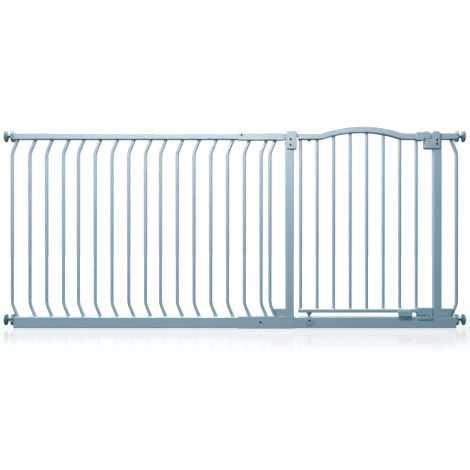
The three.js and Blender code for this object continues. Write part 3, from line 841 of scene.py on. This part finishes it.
hingePin = {
    "shank": 0.004,
    "head": 0.0066,
    "headRound": 0.0022,
    "pointEase": 0.0006,
}
low, high = lowHigh("upper_hinge_pin")
shank, head, headRound, ease = hingePin.values()
seat = railUnder - fitGap
pinLoop = [(0.0003, low[2]), (0.55 * head, low[2] + 0.0001)]
pinLoop += arcProfile((head - headRound, low[2] + headRound + 0.0002), headRound, -80, 0)
pinLoop += [(head, seat - 0.0004), (head - 0.0004, seat), (shank, seat), (shank, high[2] - ease),
            (shank - ease, high[2]), (0.0003, high[2])]
pin = surfacePiece("upper_hinge_pin_turned", turnedAbout("z", pinLoop, (hingeAxis, 0, 0), 48))
finish(pin, zincSteel, "door_leaf", "upper_hinge_pin")
print("upper hinge")

# lower hinge

lowerHinge = {
    "flange": 0.017,
    "body": 0.013,
    "bodyBack": 0.0107,
    "stemBore": 0.0038,
    "ringGroove": 0.0131,
    "flangeRound": 0.0012,
    "screwSunk": 0.0007,
}


def socketPiece():
    # a round flange on the rail's face with a ring groove and a sunk screw, its body bored for the stem
    size = lowerHinge
    front, back, height = float(socketBox[0][1]), -coverInner, socketCentre[2]
    flange, ring, sunk, lip = size["flange"], size["ringGroove"], front + size["screwSunk"], size["flangeRound"]
    profile = [(0.0002, sunk), (0.0048, sunk), (0.0052, front + 0.0003), (0.0057, front), (ring - 0.0007, front),
               (ring, front + 0.0005), (ring + 0.0007, front)]
    profile += arcProfile((flange - lip, front + lip), lip, -90, 0, 5)
    profile += [(flange, back - 0.0003), (flange - 0.0003, back), (size["body"], back),
                (size["body"], size["bodyBack"]), (0.0002, size["bodyBack"])]
    socket = surfacePiece("lower_hinge_socket_turned", turnedAbout("y", profile, socketCentre, 72))
    carve(socket, [rodPiece("stem_bore", "z", size["stemBore"], height - 0.006, height + 0.03, (hingeAxis, 0, 0), 36)])
    finish(socket, coverPlastic, "gate_frame", "lower_hinge_socket")
    buttonHead("socket_screw", hingeAxis, sunk, height, -1, "gate_frame")


socketPiece()

low, high = lowHigh("lower_hinge_cam")
rim, bore = halfOf((low, high), 0), lowerHinge["stemBore"]
camLoop = [(bore, low[2]), (0.0046, low[2]), (0.005, low[2] + 0.0004), (0.007, low[2] + 0.0022),
           (rim - 0.0006, low[2] + 0.0060), (rim, low[2] + 0.0067), (rim, high[2] - 0.0006), (rim - 0.0006, high[2]),
           (bore, high[2])]
cam = surfacePiece("lower_hinge_cam_turned", turnedAbout("z", camLoop, (hingeAxis, 0, 0), 56), True, 30)
finish(cam, coverPlastic, "door_leaf", "lower_hinge_cam")

low, high = lowHigh("lower_pivot_stem")
radius = halfOf((low, high), 0)
stemLoop = [(0.0003, low[2]), (radius - 0.0007, low[2]), (radius, low[2] + 0.0007), (radius, high[2] - 0.0005),
            (radius - 0.0005, high[2]), (0.0003, high[2])]
stem = surfacePiece("lower_pivot_stem_turned", turnedAbout("z", stemLoop, (hingeAxis, 0, 0), 40), smoothAngle=30)
finish(stem, zincSteel, "door_carrier", "lower_pivot_stem")
print("lower hinge")

# door

archedRail = {
    "rise": 0.027,
    "startOffset": 0.0935,
    "endOffset": 0.1085,
    "fillet": 0.070,
    "slotLow": 0.732,
    "slotHigh": 0.753,
}


def archPath():
    # flat, a hollow fillet, a round arch, a fillet and flat again
    size = archedRail
    low, high = lowHigh("door_top_rail")
    start, end = hingePostFace + size["startOffset"], latchPostFace - size["endOffset"]
    top, span = (start + end) / 2, (end - start) / 2
    full = 2 * math.atan(size["rise"] / span)
    radius = span / math.sin(full) - size["fillet"]
    first = np.linspace(0, full, 13)
    arch = np.linspace(-full, full, 61)[1:-1]
    across, up = size["fillet"] * np.sin(first), size["fillet"] * (1 - np.cos(first))
    near = np.array([0.0, 0.0004, 0.0008])
    x = np.concatenate([low[0] + near, top - span + across, top + radius * np.sin(arch),
                        top + span - across[::-1], high[0] - near[::-1]])
    lift = np.concatenate([0 * near, up, size["rise"] - radius * (1 - np.cos(arch)), up[::-1], 0 * near])
    return np.stack([x, 0 * x, railMiddle + lift], -1)


doorPath = archPath()


def doorTopTube():
    # the arched tube, with a slot in its back for the hinge arm and a hole for the pin
    size = archedRail
    rail = hollowTube("door_top_rail_arched", *squareSections(railTop - railUnder), doorPath, railTubes["cutEdge"])
    start = float(doorPath[0, 0])
    slot = blockPiece("arm_slot", (start - 0.005, halfDepth - 0.0025, size["slotLow"]),
                      (hingeAxis + 0.0075, halfDepth + 0.005, size["slotHigh"]))
    hole = rodPiece("pin_hole", "z", hingeCover["pinBore"], railUnder - 0.005, railUnder + 0.005, (hingeAxis, 0, 0))
    carve(rail, [slot, hole])
    finish(rail, doorPaint, "door_leaf", "door_top_rail")


doorTopTube()


def archUnder(x):
    # the rail's middle line moved down its own normal by half the rail's height
    tangent = np.gradient(doorPath, axis=0)
    tangent /= np.linalg.norm(tangent, axis=1)[:, None]
    half = (railTop - railUnder) / 2
    return np.interp(x, doorPath[:, 0] + half * tangent[:, 2], doorPath[:, 2] - half * tangent[:, 0])


low, high = lowHigh("door_bottom_rail")
finish(squareTube("door_bottom_rail_tube", low, high), doorPaint, "door_leaf", "door_bottom_rail")
doorRailTop = high[2]
# a flat plug closes the rail's hinge end
wall = railTubes["wall"] + 0.0001
loop = rectangle(high[2] - low[2] - 2 * wall, 2 * (halfDepth - wall), railTubes["corner"] - railTubes["wall"])
path = alongX(low[0] + np.array([0.0004, 0.0008, 0.005]), (low[2] + high[2]) / 2)
finish(surfacePiece("door_bottom_rail_plug", easedEnds(loop, path, 0.0004, [0])), coverPlastic, "door_leaf")

doorBars = {
    "sides": 28,
    "weldRadius": 0.0012,
}
doorWelds = []
for k in range(1, 9):
    bar = lowHigh(f"door_bar_{k}")
    radius, x = halfOf(bar, 0), midOf(bar, 0)
    loop = circle(radius, doorBars["sides"])
    heights = np.array([doorRailTop, doorRailTop + 0.002, 0.2, 0.4, 0.6, railUnder - 0.004, railUnder])
    path = np.stack([0 * heights + x, 0 * heights, heights], -1)
    grid = carried(loop, path)
    grid[-1, :, 2] = archUnder(grid[-1, :, 0]) + 0.0002
    finish(surfacePiece(f"door_bar_{k}_tube", grid), doorPaint, "door_leaf", f"door_bar_{k}")
    if k < 8:  # the latch's covers hide both ends of the last bar
        for height, seed in ((lambda x: np.full_like(x, doorRailTop), k), (archUnder, k + 0.5)):
            doorWelds.append(weldRing(x, height, radius, radius, doorBars["weldRadius"], seed))
points, faces = gridSoup(np.array(doorWelds))
finish(meshObject("door_bar_welds", points, faces), doorPaint, "door_leaf")
print("door tubes and bars")

# latch handle on the door

latchHandle = {
    "edge": 0.0026,
    "noseBack": 0.030,
    "bodyDrop": 0.004,
    "noseDrop": 0.023,
    "slotHalf": 0.0033,
    "pegHalf": 0.005,
    "pegEnd": 0.0085,
}
thumbSlider = {
    "ridges": 8,
    "ridgeDeep": 0.0007,
    "edge": 0.0009,
    "neckStart": 0.0035,
    "neckEnd": 0.0025,
}


def latchHandlePiece():
    # a shell over the rail's end: body, nose and peg, less the rail, the slider's slot, the works and a bar's notch
    size = latchHandle
    low, high = lowHigh("handle_housing")
    end, bottom, noseLow = float(high[0]), railUnder - size["bodyDrop"], railTop - size["noseDrop"]
    corners = [(low[0], bottom), (end - size["noseBack"], bottom), (end - size["noseBack"] + 0.004, noseLow),
               (end, noseLow), (end, high[2]), (low[0], high[2])]
    handle = pillow("latch_handle", corners, [0.0055, 0.004, 0.003, 0.004, 0.0075, 0.0045], low[1], high[1],
                    size["edge"], 9)
    doorEnd = float(doorPath[-1, 0])
    half, slotHalf, pegEnd = size["pegHalf"], size["slotHalf"], end - size["pegEnd"]
    carve(handle, [blockPiece("peg", (pegEnd - 2 * half, -half, low[2]), (pegEnd, half, noseLow + 0.003))], "UNION")
    neck = float(lowHigh("lock_slider")[0][0]) + thumbSlider["neckStart"]
    carve(handle, [
        blockPiece("rail_pocket", (low[0] - 0.001, -coverInner, railUnder - fitGap),
                   (doorEnd + fitGap, coverInner, railTop + fitGap)),
        blockPiece("slide_slot", (neck - 0.0085, -slotHalf, railTop - 0.006),
                   (neck + 0.0125, slotHalf, high[2] + 0.002)),
        blockPiece("works", (doorEnd - 0.001, -0.011, noseLow + 0.005), (end - 0.007, 0.011, railTop)),
        rodPiece("bar_notch", "z", barNotch, bottom - 0.002, railUnder, (lastBarX, 0, 0), 40),
    ])
    finish(handle, coverPlastic, "door_leaf", "handle_housing")


latchHandlePiece()


def thumbSliderPiece():
    # the cap's top is a run of rounded ridges between two plain margins; neck and foot stand below it
    size = thumbSlider
    low, high = lowHigh("lock_slider")
    base = railTop + 0.0043
    x = np.linspace(low[0] + 0.0002, high[0] - 0.0002, 97)
    share = np.clip((x - low[0] - 0.0018) / (high[0] - low[0] - 0.0036), 0, 1)
    wave = 0.5 - 0.5 * np.cos(2 * np.pi * size["ridges"] * share)
    fall = 0.0011 * np.abs(2 * (x - low[0]) / (high[0] - low[0]) - 1) ** 6
    top = high[2] - size["ridgeDeep"] * (1 - wave) - fall
    loop = np.concatenate([[(x[0], base), (x[-1], base)], np.stack([x, top], -1)[::-1]])
    grid = pillowGrid(anticlockwise(loop), low[1], high[1], size["edge"], 3)
    cap = surfacePiece("thumb_slider", grid, smoothAngle=60)
    neckLow, neckHigh = float(low[0]) + size["neckStart"], float(high[0]) - size["neckEnd"]
    carve(cap, [
        blockPiece("neck", (neckLow, -0.003, railTop - 0.003), (neckHigh, 0.003, base + 0.0007)),
        blockPiece("foot", (neckLow, -0.007, low[2]), (neckHigh, 0.007, railTop - 0.001)),
    ], "UNION")
    finish(cap, sliderPlastic, "lock", "lock_slider")


thumbSliderPiece()
print("latch handle and slider")

# upper latch receiver on the post

receiver = {
    "edge": 0.0022,
    "screwX": 0.7805,
    "screwHeights": (0.7280, 0.7127),
    "pegGap": 0.0006,
    "trayDrop": 0.0233,
    "pastPost": 0.007,
}


def receiverPiece():
    # a cap over the post's top with a tray that reaches under the handle's nose, pocketed for its peg
    size = receiver
    low, high = lowHigh("latch_receiver")
    trayTop = railTop - size["trayDrop"]
    coverLeft = latchPostFace - size["pastPost"]
    corners = [(low[0], low[2]), (high[0], low[2]), (high[0], high[2]), (coverLeft, high[2]), (coverLeft, trayTop),
               (low[0], trayTop)]
    shell = pillow("latch_receiver_shell", corners, [0.0065, 0.0045, 0.0105, 0.0095, 0.0026, 0.0030], low[1], high[1],
                   size["edge"], 9)
    # the pocket takes the handle's peg with a gap all round
    gap, half = size["pegGap"], latchHandle["pegHalf"] + size["pegGap"]
    pocketHigh = lowHigh("handle_housing")[1][0] - latchHandle["pegEnd"] + gap
    carve(shell, [
        blockPiece("post_hollow", (latchPostFace - fitGap, -coverInner, low[2] - 0.01),
                   (high[0] + 0.01, coverInner, railTop + fitGap)),
        blockPiece("peg_pocket", (pocketHigh - 2 * half, -half, trayTop - 0.009), (pocketHigh, half, trayTop + 0.002)),
        *screwSeats(low, high, size["screwX"], size["screwHeights"]),
    ])
    finish(shell, coverPlastic, "gate_frame", "latch_receiver")
    coverScrews("receiver", low, high, size["screwX"], size["screwHeights"])


receiverPiece()

# lower latch

lowerLatch = {
    "edge": 0.0014,
    "noseLift": 0.0019,
    "bodyLift": 0.0065,
}


def lowerHousingPiece():
    # a shell over the bottom rail's end, with a narrow nose below that drops into the catch
    size = lowerLatch
    low, high = lowHigh("lower_latch_housing")
    start, end = float(low[0]), float(high[0])
    base, noseLow = floorRailTop + size["bodyLift"], floorRailTop + size["noseLift"]
    doorRail = lowHigh("door_bottom_rail")
    corners = [(start + 0.005, base), (end - 0.025, base), (end - 0.025, noseLow), (end - 0.008, noseLow),
               (end - 0.006, base), (end, base + 0.004), (end, high[2]), (start, high[2]), (start, doorRail[0][2])]
    radii = [0.0022, 0.0008, 0.0022, 0.0022, 0.0008, 0.0022, 0.0045, 0.0045, 0.0028]
    shell = pillow("lower_latch_shell", corners, radii, low[1], high[1], size["edge"], 7)
    side = halfDepth - 0.0002
    carve(shell, [
        blockPiece("rail_pocket", (start - 0.001, -coverInner, doorRail[0][2] - fitGap),
                   (doorRail[1][0] + fitGap, coverInner, doorRail[1][2] + fitGap)),
        rodPiece("bar_notch", "z", barNotch, doorRail[1][2], high[2] + 0.002, (lastBarX, 0, 0), 40),
        blockPiece("nose_front", (end - 0.026, low[1] - 0.001, noseLow - 0.002), (end - 0.005, -side, base)),
        blockPiece("nose_back", (end - 0.026, side, noseLow - 0.002), (end - 0.005, high[1] + 0.001, base)),
    ])
    finish(shell, coverPlastic, "door_leaf", "lower_latch_housing")


lowerHousingPiece()


def catchPiece():
    # a bent saddle: two lips and a web, carried along the rail as one section
    low, high = lowHigh("lower_catch")
    web, under, inner = floorRailTop + 0.0015, floorRailTop + fitGap, coverInner
    corners = [(low[2], low[1]), (high[2], low[1]), (high[2], -inner), (web, -inner), (web, inner),
               (high[2], inner), (high[2], high[1]), (low[2], high[1]), (low[2], inner), (under, inner),
               (under, -inner), (low[2], -inner)]
    radii = [0.0008, 0.0012, 0.0008, 0.0006, 0.0006, 0.0008, 0.0012, 0.0008, 0.0004, 0.0003, 0.0003, 0.0004]
    loop = roundedCorners(corners, radii, 4, 0.00008)
    grid = easedEnds(loop, alongX([low[0], low[0] + 0.0005, high[0] - 0.0005, high[0]]), 0.00025)
    finish(surfacePiece("lower_catch_folded", grid), coverPlastic, "gate_frame", "lower_catch")


catchPiece()


def stopPiece():
    # a plate that stands in front of the door's rail, on a flange along the frame's rail
    low, high = lowHigh("door_stop")
    x0, x1 = float(low[0]), float(high[0])
    back = -coverInner
    corners = [(x0 + 0.006, floorRailTop + 0.002), (x1, floorRailTop + 0.002), (x1, high[2]), (x0, high[2]),
               (x0, floorRailTop + 0.009)]
    plate = pillow("door_stop_plate", corners, [0.003, 0.0026, 0.0032, 0.0032, 0.003], low[1], back - 0.0002, 0.0018, 7)
    finish(plate, coverPlastic, "gate_frame", "door_stop")
    top = floorRailTop + 0.004
    corners = [(x0 + 0.003, low[2]), (x1 - 0.003, low[2]), (x1 - 0.003, top), (x0 + 0.003, top)]
    flange = pillow("door_stop_flange", corners, [0.0026, 0.0026, 0.0014, 0.0014], back - 0.003, back, 0.0008, 6)
    finish(flange, coverPlastic, "gate_frame")


stopPiece()
print("latch pieces")

# pressure mounts: pad, hand nut and threaded screw at each of the four corners

pressureMount = {
    "pitch": 0.0015,
    "threadDeep": 0.00055,
    "rowsPerTurn": 6,
    "threadSides": 28,
    "tipShare": 0.82,
    "lobes": 8,
    "lobeDeep": 0.085,
    "sides": 96,
    "padRim": 0.0042,
    "nutBore": 0.0053,
    "nutRound": 0.0024,
}


def threadGrid(x0, x1, radius, centre):
    # the radius falls and rises once a turn as the angle and the place along the screw go round together
    size = pressureMount
    rows = int(round((x1 - x0 - 0.002) / size["pitch"] * size["rowsPerTurn"])) + 1
    along = np.linspace(x0 + 0.001, x1 - 0.001, rows)[:, None]
    turn = np.linspace(0, 2 * np.pi, size["threadSides"], endpoint=False)[None]
    phase = np.mod(along / size["pitch"] - turn / (2 * np.pi), 1)
    groove = np.clip(1.5 * np.abs(2 * phase - 1) - 0.25, 0, 1)
    r = radius - size["threadDeep"] * (1 - groove)
    x = np.broadcast_to(along, r.shape)
    body = np.stack([x, r * np.cos(turn), r * np.sin(turn)], -1)
    tip = np.insert(circle(size["tipShare"] * radius, size["threadSides"]), 0, x0, axis=1)
    tail = tip + np.array([x1 - x0, 0, 0])
    return np.concatenate([tip[None], body, tail[None]]) + np.asarray(centre)


def gripScale(turn, radius):
    # finger scallops: none near the middle, full at the rim
    size = pressureMount
    share = np.clip((radius - 0.012) / 0.008, 0, 1)
    scallop = (0.5 + 0.5 * np.cos(size["lobes"] * turn)) ** 1.6
    return 1 - size["lobeDeep"] * share * share * (3 - 2 * share) * scallop


def wallPadProfile(reach):
    # flat on the wall, a full round rim, a shallow dish and a low hub towards the gate
    size = pressureMount
    rim = size["padRim"]
    profile = [(0.0002, 0.0), (0.006, 0.0), (0.0065, 0.0003), (0.012, 0.0003), (0.0125, 0.0), (reach - rim, 0.0)]
    profile += arcProfile((reach - rim, rim), rim, -90, 35, 10)
    profile += [(reach - 0.0030, 0.0078), (reach - 0.0058, 0.0087), (0.0135, 0.0093), (0.0105, 0.0095)]
    profile += [(0.0098, 0.0098), (0.0092, 0.0107), (0.0085, 0.0111), (0.0060, 0.0112), (0.0054, 0.0109)]
    return profile


def handNutProfile(near, far, reach):
    # a washer face and a waist towards the pad, then a thick rim with rounded edges
    bore, r = pressureMount["nutBore"], pressureMount["nutRound"]
    profile = [(bore, far), (bore, near + 0.0002), (bore + 0.0002, near), (0.0086, near), (0.0092, near + 0.0006),
               (0.0098, near + 0.0028), (0.0108, near + 0.0034), (reach - 0.0045, near + 0.0032)]
    profile += arcProfile((reach - r, near + 0.0034 + r), r, -75, 0)
    return profile + arcProfile((reach - r, far - r), r, 0, 90)


def turnedFromWall(name, profile, way, centre, **how):
    # a profile of (radius, distance from the wall) turned about the screw's line; way points from wall to gate
    profile = [(r, way * a) for r, a in profile]
    return surfacePiece(name, turnedAbout("x", profile, centre, pressureMount["sides"], how.pop("lobes", None)), **how)


for side, way in (("left", 1), ("right", -1)):
    for level in ("upper", "lower"):
        label = f"{level}_{side}"
        padBox, nutBox, screwBox = (lowHigh(f"{label}_{part}") for part in ("wall_pad", "adjusting_nut", "spindle"))
        height = midOf(screwBox, 2)
        wall = float(padBox[0][0] if way > 0 else padBox[1][0])
        hubDepth = 2 * halfOf(padBox, 0) - 0.0032
        profile = wallPadProfile(halfOf(padBox, 2)) + [(0.0054, hubDepth), (0.0002, hubDepth)]
        pad = turnedFromWall(f"{label}_rubber_foot", profile, way, (wall, 0, height), smoothAngle=32)
        finish(pad, padRubber, f"{label}_screw", f"{label}_wall_pad")
        thread = threadGrid(float(screwBox[0][0]), float(screwBox[1][0]), halfOf(screwBox, 2), (0, 0, height))
        screw = surfacePiece(f"{label}_threaded_screw", thread, smoothAngle=50)
        finish(screw, zincSteel, f"{label}_screw", f"{label}_spindle")
        near = float(nutBox[0][0] - wall) if way > 0 else float(wall - nutBox[1][0])
        profile = handNutProfile(near, near + 2 * halfOf(nutBox, 0), halfOf(nutBox, 2))
        nut = turnedFromWall(f"{label}_hand_nut", profile, way, (wall, 0, height), lobes=gripScale, closeRows=True,
                             smoothAngle=40)
        finish(nut, nutPlastic, f"{label}_nut", f"{label}_adjusting_nut")
print("pressure mounts")
print("nodes still shown:", [o.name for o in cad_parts.values() if not o.hide_render])
